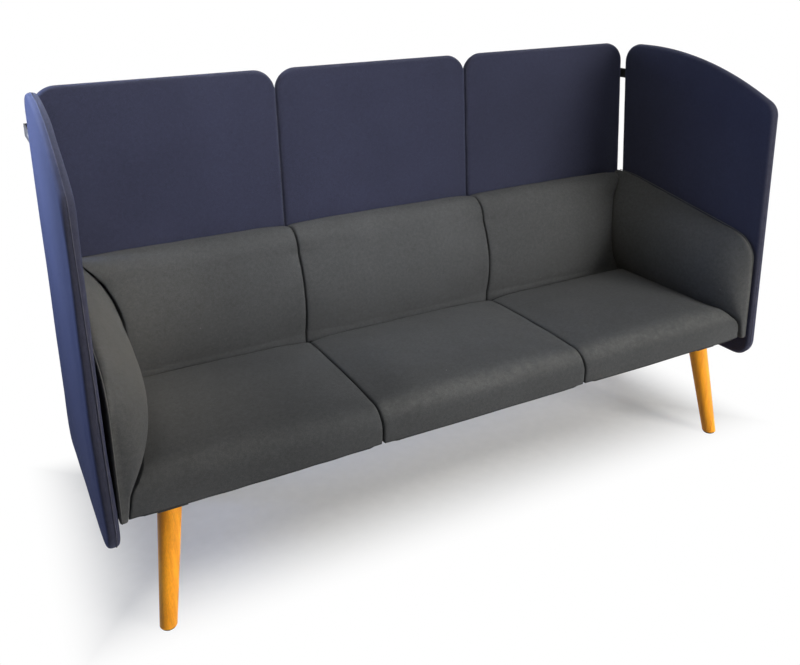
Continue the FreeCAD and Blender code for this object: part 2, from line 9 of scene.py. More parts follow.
import bmesh
import bpy
import numpy as np
from mathutils import Matrix, Vector
from mathutils.geometry import convex_hull_2d
from mathutils.kdtree import KDTree


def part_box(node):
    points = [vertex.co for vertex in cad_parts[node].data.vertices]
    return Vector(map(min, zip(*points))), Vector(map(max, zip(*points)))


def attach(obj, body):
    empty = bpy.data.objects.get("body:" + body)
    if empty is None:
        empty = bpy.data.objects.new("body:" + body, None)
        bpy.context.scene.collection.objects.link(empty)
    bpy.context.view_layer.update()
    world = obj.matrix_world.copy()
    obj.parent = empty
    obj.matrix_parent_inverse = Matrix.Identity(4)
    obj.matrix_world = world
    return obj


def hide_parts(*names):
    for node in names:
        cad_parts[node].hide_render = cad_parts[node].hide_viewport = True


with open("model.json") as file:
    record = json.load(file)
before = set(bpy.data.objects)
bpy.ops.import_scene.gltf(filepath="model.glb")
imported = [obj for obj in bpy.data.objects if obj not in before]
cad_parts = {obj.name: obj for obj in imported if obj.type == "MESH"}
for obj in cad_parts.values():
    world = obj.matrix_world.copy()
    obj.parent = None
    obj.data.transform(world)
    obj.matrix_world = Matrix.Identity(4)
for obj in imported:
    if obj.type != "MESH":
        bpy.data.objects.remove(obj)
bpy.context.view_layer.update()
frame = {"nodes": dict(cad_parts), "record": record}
scene = bpy.context.scene

# Camera, fitted to the photograph
image_width = 800
image_height = 665
sensor_width = 36.0
focal_pixels = 848.54
principal_point = (383.57, 218.01)
camera_place = Vector((-1.1650, -1.9869, 1.4754))
camera_turn = -0.4754
camera_tilt = -0.2900
camera_roll = -0.0205

# Skins of the soft pieces: voxel sizes in metres, smoothing rounds
fine_voxel = 0.0045
coarse_voxel = 0.010
smooth_rounds = 3
coarse_rounds = 1
cushion_rounds = 2
arm_rounds = 3
screen_rounds = 1
taut_rounds = 60

# Filling's pressure: cloth settings, and how the lift is carried from the coarse to the fine skin
frames_of_swelling = 20
swell_pressure = 4.0
cloth_quality = 3
cloth_bending = 2.0
held_below = 0.5
lift_rounds = 12
near_count = 4
near_softening = 0.001

# How far a skin starts inside its solid, and the most that it is lifted, in metres
cushion_shrink = 0.004
cushion_cap = 0.006
screen_shrink = 0.002
screen_cap = 0.003

# Where a skin is held and where it is free: from one distance or share to another
end_hold = (0.004, 0.030)
seat_foot_hold = (0.012, 0.045)
back_foot_hold = (0.40, 0.47)
back_facing = 0.5
arm_side_hold = (0.010, 0.040)
arm_rear_hold = (0.0, 0.05)
screen_facing_hold = (0.6, 0.95)
taut_ends = (0.01, 0.05)
taut_heights = (0.44, 0.50)
taut_rear = 0.02

# Small rests, bulges and waves, in metres
board_cover = 0.001
side_rest = 0.0005
screen_side_bulge = 0.0008
wave_lengths = (0.30, 0.21, 0.15, 0.11, 0.08)
cushion_wave = 0.0006
screen_wave = 0.0005

# Sewn edges, in metres
seam_radius = 0.0012
seam_resolution = 2
seam_step = 0.006
arm_seam_inset = 0.004
arm_panel_depth = 0.012

# Turn of the left arm and screen
left_side_toe = math.radians(-1.0)

# Distances from the left seat's end, in metres, over which it stops following that turn
seat_reach = (0.11, 0.35)

# Share of the turn at the left screen's foot, and the heights over which it becomes whole
screen_foot_toe = 0.1
screen_foot_heights = (0.257, 0.60)

# Rubbing, a painted highlight on the seats' front roll and a painted shade along their bottom edge:
# where each starts and ends in metres, and its share
seat_roll_depth = 0.08
seat_roll_fade = 0.06
seat_roll_heights = (0.385, 0.42)
# Painted highlight on each seat's front roll, stronger on the middle and right seats
seat_roll_highlight = {"left": 0.15, "middle": 0.65, "right": 0.65}
back_wear_depth = 0.05
back_wear = 0.2
arm_wear_depth = 0.02
arm_wear_fade = 0.012
arm_wear = 0.5
screen_wear = 0.3
# Painted shade along the seats' bottom edge: its height and fade
bottom_shade_height = 0.007
bottom_shade_fade = 0.004

# Seeds of the waves
seat_seeds = {"left": 11, "middle": 12, "right": 13}
back_seeds = {"left": 21, "middle": 22, "right": 23}
arm_seeds = {"left": 35, "right": 36}
back_screen_seeds = {"left": 41, "middle": 42, "right": 43}
side_screen_seeds = {"left": 52, "right": 51}

# Colours, linear
white = (1.0, 1.0, 1.0)
grey = (0.070, 0.0735, 0.078)
# Grey for rubbing, and for the painted highlight on the seats' front roll
worn_and_highlit_grey = (0.150, 0.153, 0.153)
navy = (0.034, 0.037, 0.068)
worn_navy = (0.10, 0.10, 0.13)
honey = (0.96, 0.39, 0.012)
dark_honey = (0.80, 0.29, 0.008)
# Near black for the painted shade along the seats' bottom edge
painted_bottom_shade = (0.012, 0.012, 0.012)
lint_colour = (0.42, 0.42, 0.44)

# Fabric: scales per metre, and the least and most of a tone, share or gloss
noise_range = (0.3, 0.7)
fleck_scale = 520.0
felt_scale = 110.0
stain_scale = 4.5
patch_scale = 45.0
lint_scale = 9.0
yarn_tone = (0.86, 1.10)
fleck_tone = (0.80, 1.20)
stain_tone = (0.93, 1.07)
patch_range = (0.25, 0.75)
patch_share = (0.35, 1.0)
lint_range = (0.008, 0.014)
lint_share = (0.45, 0.0)
fabric_gloss = (0.86, 0.98)
fleck_height = 0.8
fabric_bump = {"Strength": 0.35, "Distance": 0.0006}

# Wood: stretches of the grain, scales per metre, tones and gloss
grain_stretch = (1.0, 1.0, 0.05)
pore_stretch = (1.0, 1.0, 0.02)
grain_scale = 110.0
pore_scale = 900.0
board_cloud_scale = 22.0
grain_range = (0.40, 0.66)
pore_range = (0.35, 0.65)
pore_tone = (0.86, 1.06)
wood_tone = (0.88, 1.10)
wood_gloss = (0.38, 0.55)
wood_bump = {"Strength": 0.12, "Distance": 0.0004}

# Plywood
veneer_stretch = (0.12, 1.0, 1.0)
flame_scale = 26.0
fibre_scale = 420.0
flame_range = (0.35, 0.7)
flame_share = (0.0, 0.8)
fibre_tone = (0.88, 1.08)
veneer_gloss = (0.6, 0.8)
veneer_bump = {"Strength": 0.2, "Distance": 0.0004}

# Powder coat, zinc and plastic
coat_cloud_scale = 14.0
coat_grain_tone = (0.85, 1.15)
coat_cloud_tone = (0.9, 1.1)
coat_gloss_spread = (-0.06, 0.08)
coat_bump_strength = 0.3

# Floor: pale grey tones that paint a shadow round the sofa, glow for shown rays, and where it fades
# to white in metres
floor_reach = 14.0
floor_drop = 0.0005
floor_scale = 30.0
shadow_floor_tone = (0.50, 0.53)
floor_glow = 0.14
floor_glow_colour = (0.95, 1.02, 1.09, 1.0)
shadow_end_fade = (0.82, 1.12)
shadow_front_fade = (0.02, 0.38)
shadow_rear_fade = (0.32, 0.60)
dim_sky = (0.035, 0.035, 0.035)

# Places that are shown from the CAD piece of one of them
places_from = {"middle": ("middle",), "right": ("left", "right")}


# Materials


def node(tree, kind, inputs=None, **settings):
    """A shader node whose inputs are values or sockets of other nodes."""
    made = tree.nodes.new(kind)
    for name, value in settings.items():
        setattr(made, name, value)
    for name, value in (inputs or {}).items():
        if isinstance(value, bpy.types.NodeSocket):
            tree.links.new(value, made.inputs[name])
        else:
            made.inputs[name].default_value = value
    return made


def math_node(tree, operation, first, second=0.0):
    return node(tree, "ShaderNodeMath", {0: first, 1: second}, operation=operation).outputs[0]


def vector_node(tree, operation, first, second=(0.0, 0.0, 0.0)):
    made = node(tree, "ShaderNodeVectorMath", {0: first, 1: second}, operation=operation)
    return made.outputs["Value"] if operation == "DOT_PRODUCT" else made.outputs["Vector"]


def spread(tree, value, low, high, to_low, to_high):
    """A value moved from one range to another, held at its ends."""
    inputs = {
        "Value": value,
        "From Min": low,
        "From Max": high,
        "To Min": to_low,
        "To Max": to_high,
    }
    return node(tree, "ShaderNodeMapRange", inputs).outputs["Result"]


def eased_spread(tree, value, low, high):
    """0 below low and 1 above high, with a smooth step between."""
    inputs = {"Value": value, "From Min": low, "From Max": high}
    made = node(tree, "ShaderNodeMapRange", inputs, interpolation_type="SMOOTHSTEP")
    return made.outputs["Result"]


def toned(tree, value, tone):
    """A noise moved to the range of a tone."""
    return spread(tree, value, *noise_range, *tone)


def product(tree, first, second):
    return math_node(tree, "MULTIPLY", first, second)


def noise(tree, place, scale, detail):
    inputs = {"Vector": place, "Scale": scale, "Detail": detail}
    return node(tree, "ShaderNodeTexNoise", inputs).outputs["Fac"]


def mixed(tree, share, first, second):
    """Two colours mixed."""
    made = node(tree, "ShaderNodeMix", data_type="RGBA")
    for name, value in (("Factor_Float", share), ("A_Color", first), ("B_Color", second)):
        socket = next(s for s in made.inputs if s.identifier == name)
        if isinstance(value, bpy.types.NodeSocket):
            tree.links.new(value, socket)
        else:
            socket.default_value = value if name == "Factor_Float" else (*value, 1.0)
    return next(s for s in made.outputs if s.identifier == "Result_Color")


def scaled(tree, colour, value):
    """A colour brightened or darkened by a value."""
    made = node(tree, "ShaderNodeVectorMath", {0: colour, "Scale": value}, operation="SCALE")
    return made.outputs["Vector"]


def material(name):
    """An empty material with its shader, and the place on the object in metres."""
    made = bpy.data.materials.new(name)
    made.use_nodes = True
    tree = made.node_tree
    shader = tree.nodes["Principled BSDF"]
    place = node(tree, "ShaderNodeTexCoord").outputs["Object"]
    return made, tree, shader, place


def add_bump(tree, shader, height, bump):
    made = node(tree, "ShaderNodeBump", {"Height": height, **bump})
    tree.links.new(made.outputs["Normal"], shader.inputs["Normal"])


def weave(tree, place, pitch):
    """Height of a plain weave on a surface that faces any way, from -1 to 1."""
    turns = 2 * math.pi / pitch
    wave = vector_node(tree, "SINE", vector_node(tree, "MULTIPLY", place, (turns,) * 3))
    parts = node(tree, "ShaderNodeSeparateXYZ", {0: wave}).outputs
    across = node(
        tree,
        "ShaderNodeCombineXYZ",
        {
            0: product(tree, parts[1], parts[2]),
            1: product(tree, parts[0], parts[2]),
            2: product(tree, parts[0], parts[1]),
        },
    ).outputs[0]
    facing = node(tree, "ShaderNodeNewGeometry").outputs["Normal"]
    share = vector_node(tree, "MULTIPLY", facing, facing)
    return vector_node(tree, "DOT_PRODUCT", across, share)


def fabric(name, colour, worn_and_highlit, pitch, sheen, tint, mottle):
    """Woven cover: yarn, melange, soft stains, rubbing and a painted highlight from the mesh, a
    painted shade along the seats' bottom edge, and specks of lint.
    """
    made, tree, shader, place = material(name)
    yarn = weave(tree, place, pitch)
    fleck = noise(tree, place, fleck_scale, detail=3.0)
    stain = noise(tree, place, stain_scale, detail=3.0)
    felt = noise(tree, place, felt_scale, detail=4.0)
    tone = spread(tree, yarn, -1.0, 1.0, *yarn_tone)
    tone = product(tree, tone, toned(tree, fleck, fleck_tone))
    tone = product(tree, tone, toned(tree, stain, stain_tone))
    tone = product(tree, tone, toned(tree, felt, (1.0 - mottle, 1.0 + mottle)))
    # Rubbing, and the painted highlight on the seats' front roll, from the mesh
    wear_and_highlight_share = node(tree, "ShaderNodeAttribute", attribute_name="wear_and_highlight").outputs["Fac"]
    patch = spread(tree, noise(tree, place, patch_scale, detail=6.0), *patch_range, *patch_share)
    base = mixed(tree, product(tree, wear_and_highlight_share, patch), colour, worn_and_highlit)
    # Painted shade along the seats' bottom edge, from the mesh
    bottom_shaded = node(tree, "ShaderNodeAttribute", attribute_name="painted_bottom_shade").outputs["Fac"]
    base = mixed(tree, bottom_shaded, base, painted_bottom_shade)
    cells = node(tree, "ShaderNodeTexVoronoi", {"Vector": place, "Scale": lint_scale})
    lint = spread(tree, cells.outputs["Distance"], *lint_range, *lint_share)
    base = mixed(tree, lint, scaled(tree, base, tone), lint_colour)
    tree.links.new(base, shader.inputs["Base Color"])
    height = math_node(tree, "ADD", yarn, product(tree, fleck, fleck_height))
    add_bump(tree, shader, height, fabric_bump)
    tree.links.new(toned(tree, fleck, fabric_gloss), shader.inputs["Roughness"])
    shader.inputs["Specular IOR Level"].default_value = 0.15
    shader.inputs["Sheen Weight"].default_value = sheen
    shader.inputs["Sheen Roughness"].default_value = 0.45
    shader.inputs["Sheen Tint"].default_value = (*tint, 1.0)
    return made


def wood(name, colour, dark, coat):
    """Straight grain along Z with fine pores."""
    made, tree, shader, place = material(name)
    drawn = vector_node(tree, "MULTIPLY", place, grain_stretch)
    grain = noise(tree, drawn, grain_scale, detail=6.0)
    long_pores = vector_node(tree, "MULTIPLY", place, pore_stretch)
    pores = noise(tree, long_pores, pore_scale, detail=2.0)
    cloud = noise(tree, drawn, board_cloud_scale, detail=2.0)
    base = mixed(tree, spread(tree, grain, *grain_range, 0.0, 1.0), colour, dark)
    tone = spread(tree, pores, *pore_range, *pore_tone)
    tone = product(tree, tone, toned(tree, cloud, wood_tone))
    tree.links.new(scaled(tree, base, tone), shader.inputs["Base Color"])
    add_bump(tree, shader, pores, wood_bump)
    tree.links.new(toned(tree, grain, wood_gloss), shader.inputs["Roughness"])
    shader.inputs["Specular IOR Level"].default_value = 0.3
    shader.inputs["Coat Weight"].default_value = coat
    shader.inputs["Coat Roughness"].default_value = 0.3
    return made


def plywood(name, colour, dark):
    """Raw board: flamed veneer and fine fibres along X."""
    made, tree, shader, place = material(name)
    drawn = vector_node(tree, "MULTIPLY", place, veneer_stretch)
    flame = noise(tree, drawn, flame_scale, detail=6.0)
    fibre = noise(tree, drawn, fibre_scale, detail=2.0)
    base = mixed(tree, spread(tree, flame, *flame_range, *flame_share), colour, dark)
    base = scaled(tree, base, toned(tree, fibre, fibre_tone))
    tree.links.new(base, shader.inputs["Base Color"])
    add_bump(tree, shader, fibre, veneer_bump)
    tree.links.new(toned(tree, fibre, veneer_gloss), shader.inputs["Roughness"])
    return made


def grained(name, colour, metallic, scale, rough, bump_height):
    """Powder coat, zinc or moulded plastic: fine grain in tone, gloss and relief."""
    made, tree, shader, place = material(name)
    grain = noise(tree, place, scale, detail=3.0)
    cloud = noise(tree, place, coat_cloud_scale, detail=3.0)
    tone = toned(tree, grain, coat_grain_tone)
    tone = product(tree, tone, toned(tree, cloud, coat_cloud_tone))
    tree.links.new(scaled(tree, colour, tone), shader.inputs["Base Color"])
    gloss = [rough + change for change in coat_gloss_spread]
    tree.links.new(toned(tree, cloud, gloss), shader.inputs["Roughness"])
    add_bump(tree, shader, grain, {"Strength": coat_bump_strength, "Distance": bump_height})
    shader.inputs["Metallic"].default_value = metallic
    shader.inputs["Specular IOR Level"].default_value = 0.25
    return made


materials = {
    "grey_fabric": fabric(
        "grey_fabric",
        grey,
        worn_and_highlit_grey,
        pitch=0.0019,
        sheen=0.06,
        tint=(0.97, 0.97, 1.0),
        mottle=0.10,
    ),
    "navy_fabric": fabric(
        "navy_fabric",
        navy,
        worn_navy,
        pitch=0.0016,
        sheen=0.16,
        tint=(0.50, 0.60, 1.0),
        mottle=0.06,
    ),
    "plywood": plywood("plywood", colour=(0.52, 0.37, 0.21), dark=(0.38, 0.24, 0.12)),
    "core_board": plywood("core_board", colour=(0.42, 0.33, 0.23), dark=(0.36, 0.27, 0.18)),
    "leg_wood": wood("leg_wood", honey, dark_honey, coat=0.08),
    "black_steel": grained(
        "black_steel",
        colour=(0.016, 0.016, 0.018),
        metallic=0.0,
        scale=900.0,
        rough=0.48,
        bump_height=0.0003,
    ),
    "zinc_steel": grained(
        "zinc_steel",
        colour=(0.55, 0.56, 0.57),
        metallic=1.0,
        scale=500.0,
        rough=0.36,
        bump_height=0.0001,
    ),
    "glide_plastic": grained(
        "glide_plastic",
        colour=(0.02, 0.02, 0.022),
        metallic=0.0,
        scale=700.0,
        rough=0.5,
        bump_height=0.0002,
    ),
}


# Meshes


def points_of(mesh):
    flat = np.empty(len(mesh.vertices) * 3, np.float32)
    mesh.vertices.foreach_get("co", flat)
    return flat.reshape(-1, 3).astype(float)


def set_points(mesh, points):
    mesh.vertices.foreach_set("co", np.ascontiguousarray(points, np.float32).ravel())
    mesh.update()


def normals_of(mesh):
    flat = np.empty(len(mesh.vertices) * 3, np.float32)
    mesh.vertex_normals.foreach_get("vector", flat)
    return flat.reshape(-1, 3).astype(float)


def evaluated(obj):
    bpy.context.view_layer.update()
    return obj.evaluated_get(bpy.context.evaluated_depsgraph_get())


def remeshed(name, nodes, size, rounds):
    """One even closed skin on the outside of some CAD nodes."""
    joined = bmesh.new()
    for cad_node in nodes:
        joined.from_mesh(frame["nodes"][cad_node].data)
    mesh = bpy.data.meshes.new(name)
    joined.to_mesh(mesh)
    joined.free()
    solid = bpy.data.objects.new("solid", mesh)
    work = bpy.data.objects.new("work", mesh)
    for obj in (solid, work):
        scene.collection.objects.link(obj)
    remesh = work.modifiers.new("Remesh", "REMESH")
    remesh.mode = "VOXEL"
    remesh.voxel_size = size
    smooth = work.modifiers.new("Smooth", "SMOOTH")
    smooth.iterations = smooth_rounds
    wrap = work.modifiers.new("Wrap", "SHRINKWRAP")
    wrap.target = solid
    after = work.modifiers.new("After", "SMOOTH")
    after.iterations = rounds
    made = bpy.data.meshes.new_from_object(evaluated(work))
    for obj in (solid, work):
        bpy.data.objects.remove(obj)
    return made


def rise(values, low, high):
    """Smooth step from 0 to 1."""
    share = np.clip((values - low) / (high - low), 0.0, 1.0)
    return share * share * (3 - 2 * share)


def evened(mesh, values, rounds):
    """Values on a mesh averaged with their neighbours'."""
    pairs = np.empty(len(mesh.edges) * 2, np.int32)
    mesh.edges.foreach_get("vertices", pairs)
    first, second = pairs.reshape(-1, 2).T
    count = np.bincount(pairs, minlength=len(values))
    for _ in range(rounds):
        total = np.bincount(first, values[second], len(values))
        total += np.bincount(second, values[first], len(values))
        values = (values + total / count) / 2
    return values


def lift_of(mesh, free, shrink, cap):
    """How far a cloth simulation of the filling's pressure lifts a skin, free where free is 1."""
    rest = points_of(mesh)
    normals = normals_of(mesh)
    set_points(mesh, rest - normals * (shrink * free)[:, None])
    work = bpy.data.objects.new("work", mesh)
    scene.collection.objects.link(work)
    group = work.vertex_groups.new(name="held")
    for index in np.flatnonzero(free < held_below):
        group.add([int(index)], 1.0, "REPLACE")
    cloth = work.modifiers.new("Cloth", "CLOTH")
    settings = cloth.settings
    settings.quality = cloth_quality
    settings.vertex_group_mass = "held"
    settings.use_pressure = True
    settings.uniform_pressure_force = swell_pressure
    settings.effector_weights.gravity = 0.0
    settings.bending_stiffness = cloth_bending
    cloth.collision_settings.use_collision = False
    cloth.point_cache.frame_start = 1
    cloth.point_cache.frame_end = frames_of_swelling
    for number in range(1, frames_of_swelling + 1):
        scene.frame_set(number)
    moved = points_of(evaluated(work).data) - rest
    bpy.data.objects.remove(work)
    scene.frame_set(1)
    lift = np.einsum("ij,ij->i", moved, normals)
    return evened(mesh, cap * np.tanh(lift / cap), lift_rounds)


def swelled(name, nodes, free_of, shrink, cap, rounds):
    """A fine skin round CAD nodes with the swelling that a coarse one takes."""
    fine = remeshed(name, nodes, fine_voxel, rounds)
    points = points_of(fine)
    normals = normals_of(fine)
    free = free_of(points, normals)
    coarse = remeshed(name, nodes, coarse_voxel, coarse_rounds)
    rest = points_of(coarse)
    lift = lift_of(coarse, free_of(rest, normals_of(coarse)), shrink, cap)
    tree = KDTree(len(rest))
    for index, place in enumerate(rest):
        tree.insert(place, index)
    tree.balance()
    heights = np.empty(len(points))
    for index, place in enumerate(points):
        near = tree.find_n(place, near_count)
        shares = [1 / (distance + near_softening) for _, _, distance in near]
        total = sum(share * lift[other] for share, (_, other, _) in zip(shares, near))
        heights[index] = total / sum(shares)
    return fine, points + normals * (heights * free)[:, None], free


def unevenness(points, seed, height):
    """Low waves all over a soft surface, the same on every run."""
    numbers = np.random.default_rng(seed)
    total = np.zeros(len(points))
    for length in wave_lengths:
        direction = numbers.normal(size=3)
        direction /= np.linalg.norm(direction)
        phase = numbers.uniform(0, 2 * math.pi)
        total += np.sin(points @ direction * (2 * math.pi / length) + phase)
    return total * height / math.sqrt(len(wave_lengths))


def mesh_like(mesh, name, points, flipped):
    """A copy of a mesh with its points elsewhere, turned right side out where they are mirrored."""
    made = mesh.copy()
    made.name = name
    if flipped:
        made.flip_normals()
    set_points(made, points)
    return made


def piece(name, mesh, slot, replaced):
    """A finished soft piece on the sofa's body, in place of CAD nodes."""
    made = bpy.data.objects.new(name, mesh)
    scene.collection.objects.link(made)
    mesh.materials.clear()
    mesh.materials.append(materials[slot])
    mesh.shade_smooth()
    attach(made, "sofa")
    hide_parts(*replaced)


def mark(mesh, name, values):
    """A value at every point of a mesh, for its material."""
    attribute = mesh.attributes.new(name, "FLOAT", "POINT")
    attribute.data.foreach_set("value", np.ascontiguousarray(values, np.float32))


def mirrored(points):
    return points * np.array((-1.0, 1.0, 1.0))


def box_of(cad_node):
    low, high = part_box(cad_node)
    return np.array(low), np.array(high)


# Seats


def drawn_out(points):
    """The left seat's end drawn out to the arm, which stands a little open at the front."""
    pivot_y = box_of("back_cushion_left")[0][1]
    share = 1 - rise(points[:, 0] - points[:, 0].min(), *seat_reach)
    shown = points.copy()
    shown[:, 0] -= np.maximum(pivot_y - points[:, 1], 0.0) * math.sin(-left_side_toe) * share
    return shown


def make_seats():
    for source, places in places_from.items():
        cushion = "seat_cushion_" + source
        low, high = box_of(cushion)

        def free_of(points, normals):
            """0 where the seat rests on its board or against its neighbours."""
            ends = np.minimum(points[:, 0] - low[0], high[0] - points[:, 0])
            foot = low[2] + np.array(seat_foot_hold)
            free = rise(ends, *end_hold) * rise(points[:, 2], *foot)
            return free * rise(high[1] - points[:, 1], *end_hold)

        mesh, points, _ = swelled(
            cushion,
            [cushion, "seat_board_" + source],
            free_of,
            cushion_shrink,
            cushion_cap,
            cushion_rounds,
        )
        points[:, 0] = np.clip(points[:, 0], low[0] + side_rest, high[0] - side_rest)
        points[:, 2] = np.maximum(points[:, 2], low[2] + board_cover)
        for place in places:
            shown = drawn_out(mirrored(points)) if place == "left" else points
            soft = mesh_like(mesh, "seat_soft_" + place, shown, place == "left")
            waves = unevenness(shown, seat_seeds[place], cushion_wave)
            set_points(soft, shown + normals_of(soft) * waves[:, None])
            # Painted highlight along the front roll, stronger on the middle and right seats, and
            # painted shade along the bottom edge
            roll = rise(low[1] + seat_roll_depth - shown[:, 1], 0.0, seat_roll_fade)
            worn_and_highlit = roll * rise(shown[:, 2], *seat_roll_heights)
            mark(soft, "wear_and_highlight", worn_and_highlit * seat_roll_highlight[place])
            mark(soft, "painted_bottom_shade", rise(low[2] + bottom_shade_height - shown[:, 2], 0.0, bottom_shade_fade))
            replaced = ["seat_cushion_" + place]
            piece("seat_soft_" + place, soft, "grey_fabric", replaced)


# Backs


def eased(mesh, points, low, high):
    """A back's front drawn taut, so that its top rolls into its face without a crease."""
    taut = points.copy()
    for axis in (1, 2):
        taut[:, axis] = evened(mesh, points[:, axis], taut_rounds)
    ends = np.minimum(points[:, 0] - low[0], high[0] - points[:, 0])
    share = rise(ends, *taut_ends) * rise(points[:, 2], *taut_heights)
    share *= rise(high[1] - taut_rear - points[:, 1], 0.0, taut_rear)
    return points + (taut - points) * share[:, None]


def make_backs():
    for source, places in places_from.items():
        cushion = "back_cushion_" + source
        low, high = box_of(cushion)

        def free_of(points, normals):
            """0 on the back's rear face, at its foot and against its neighbours."""
            ends = np.minimum(points[:, 0] - low[0], high[0] - points[:, 0])
            free = rise(ends, *end_hold) * rise(points[:, 2], *back_foot_hold)
            return free * rise(back_facing - normals[:, 1], 0.0, back_facing)

        mesh, points, _ = swelled(
            cushion,
            [cushion, "back_board_" + source],
            free_of,
            cushion_shrink,
            cushion_cap,
            cushion_rounds,
        )
        points = eased(mesh, points, low, high)
        points[:, 0] = np.clip(points[:, 0], low[0] + side_rest, high[0] - side_rest)
        for place in places:
            shown = mirrored(points) if place == "left" else points
            soft = mesh_like(mesh, "back_soft_" + place, shown, place == "left")
            waves = unevenness(shown, back_seeds[place], cushion_wave)
            set_points(soft, shown + normals_of(soft) * waves[:, None])
            crest = rise(shown[:, 2], high[2] - back_wear_depth, high[2])
            mark(soft, "wear_and_highlight", crest * back_wear)
            replaced = ["back_cushion_" + place]
            piece("back_soft_" + place, soft, "grey_fabric", replaced)


# Arm and screen of the left side, which stands a little open at the front


def toed(points, pivot_y, share=1.0):
    """Points of the left arm or screen turned, or partly turned, about an upright axis."""
    low, high = box_of("side_screen_cover_left")
    pivot = np.array(((low[0] + high[0]) / 2, pivot_y, 0.0))
    turn = np.array(Matrix.Rotation(left_side_toe, 3, "Z"))
    turned = (points - pivot) @ turn.T + pivot
    return points + (turned - points) * share


def on_side(points, place, pivot_y):
    """Points of a right-hand piece as they are, or brought over to the left and turned."""
    return toed(mirrored(points), pivot_y) if place == "left" else points


# Sewn edges


def cad_points(cad_node):
    return points_of(frame["nodes"][cad_node].data)


def outline_of(points, first, second):
    """Outline of points in two of their directions."""
    flat = [Vector((point[first], point[second])) for point in points]
    return np.array([flat[index] for index in convex_hull_2d(flat)])


def evenly(path):
    """A closed path as evenly spaced points."""
    closed = np.vstack([path, path[:1]])
    steps = np.linalg.norm(np.diff(closed, axis=0), axis=1)
    along = np.concatenate([[0.0], np.cumsum(steps)])
    marks = np.arange(0.0, along[-1], seam_step)
    return np.column_stack([np.interp(marks, along, closed[:, k]) for k in range(3)])


def seam(name, path, slot):
    """A closed sewn edge that stands a little out of the fabric."""
    curve = bpy.data.curves.new(name, "CURVE")
    curve.dimensions = "3D"
    curve.bevel_depth = seam_radius
    curve.bevel_resolution = seam_resolution
    places = evenly(path)
    spline = curve.splines.new("POLY")
    spline.points.add(len(places) - 1)
    for point, place in zip(spline.points, places):
        point.co = (*place, 1.0)
    spline.use_cyclic_u = True
    work = bpy.data.objects.new(name, curve)
    scene.collection.objects.link(work)
    mesh = bpy.data.meshes.new_from_object(evaluated(work))
    bpy.data.objects.remove(work)
    mark(mesh, "wear_and_highlight", np.ones(len(mesh.vertices)))
    mesh.materials.clear()
    mesh.materials.append(materials[slot])
    mesh.shade_smooth()
    made = bpy.data.objects.new(name, mesh)
    scene.collection.objects.link(made)
    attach(made, "sofa")


# Arms


def make_arms():
    pad = "arm_pad_right"
    outside, rear, _ = box_of(pad)[1]

    def free_of(points, normals):
        """0 where the arm stands against its screen and at its rear end."""
        free = rise(outside - points[:, 0], *arm_side_hold)
        return free * rise(rear - points[:, 1], *arm_rear_hold)

    mesh, points, _ = swelled(
        pad,
        [pad, "arm_board_right"],
        free_of,
        cushion_shrink,
        cushion_cap,
        arm_rounds,
    )
    solid = cad_points(pad)
    outline = outline_of(solid[solid[:, 0] > outside - arm_panel_depth], 1, 2)
    edge = np.column_stack([np.full(len(outline), outside - arm_seam_inset), outline])
    pivot_y = box_of("back_cushion_left")[0][1]
    for place in ("right", "left"):
        shown = on_side(points, place, pivot_y)
        soft = mesh_like(mesh, "arm_soft_" + place, shown, place == "left")
        waves = unevenness(shown, arm_seeds[place], cushion_wave)
        set_points(soft, shown + normals_of(soft) * waves[:, None])
        rim = rise(arm_wear_depth - (outside - points[:, 0]), 0.0, arm_wear_fade)
        mark(soft, "wear_and_highlight", rim * arm_wear)
        replaced = ["arm_pad_" + place, "arm_board_" + place]
        piece("arm_soft_" + place, soft, "grey_fabric", replaced)
        seam("arm_seam_" + place, on_side(edge, place, pivot_y), "grey_fabric")


# Screens


def screen_skin(cover, across):
    """A screen's skin, swelled on both faces and held along the seam round its edge."""

    def free_of(points, normals):
        return rise(np.abs(normals @ across), *screen_facing_hold)

    core = cover.replace("cover", "core")
    return swelled(cover, [cover, core], free_of, screen_shrink, screen_cap, screen_rounds)


def screen_edge(cover, along, across):
    """Path round the middle of a screen's edge, from the directions along and through it."""
    points = cad_points(cover)
    slope, start = np.polyfit(points[:, 2], points[:, across], 1)
    outline = outline_of(points, along, 2)
    path = np.empty((len(outline), 3))
    path[:, along] = outline[:, 0]
    path[:, 2] = outline[:, 1]
    path[:, across] = start + slope * outline[:, 1]
    return path


def screen_piece(mesh, points, flipped, free, seed, cover):
    """A screen in place of its cover and core."""
    name = cover.replace("cover", "soft")
    soft = mesh_like(mesh, name, points, flipped)
    waves = unevenness(points, seed, screen_wave) * free
    set_points(soft, points + normals_of(soft) * waves[:, None])
    mark(soft, "wear_and_highlight", (1 - free) * screen_wear)
    replaced = [cover, cover.replace("cover", "core")]
    piece(name, soft, "navy_fabric", replaced)


def make_back_screens():
    for source, places in places_from.items():
        cover = "back_screen_cover_" + source
        low, high = box_of(cover)
        mesh, points, free = screen_skin(cover, np.array((0.0, 1.0, 0.0)))
        edge = screen_edge(cover, along=0, across=1)
        middle = (low[0] + high[0]) / 2
        widened = 1 + 2 * screen_side_bulge / (high[0] - low[0])
        for path in (points, edge):
            path[:, 0] = middle + (path[:, 0] - middle) * widened
        for place in places:
            flipped = place == "left"
            shown = mirrored(points) if flipped else points
            cover = "back_screen_cover_" + place
            screen_piece(mesh, shown, flipped, free, back_screen_seeds[place], cover)
            path = mirrored(edge) if flipped else edge
            seam("back_screen_seam_" + place, path, "navy_fabric")


def screen_on_side(points, place, pivot_y):
    """Points of the right screen, or of the left one, which turns less towards its foot."""
    if place == "right":
        return points
    share = screen_foot_toe + (1 - screen_foot_toe) * rise(points[:, 2], *screen_foot_heights)
    return toed(mirrored(points), pivot_y, share[:, None])


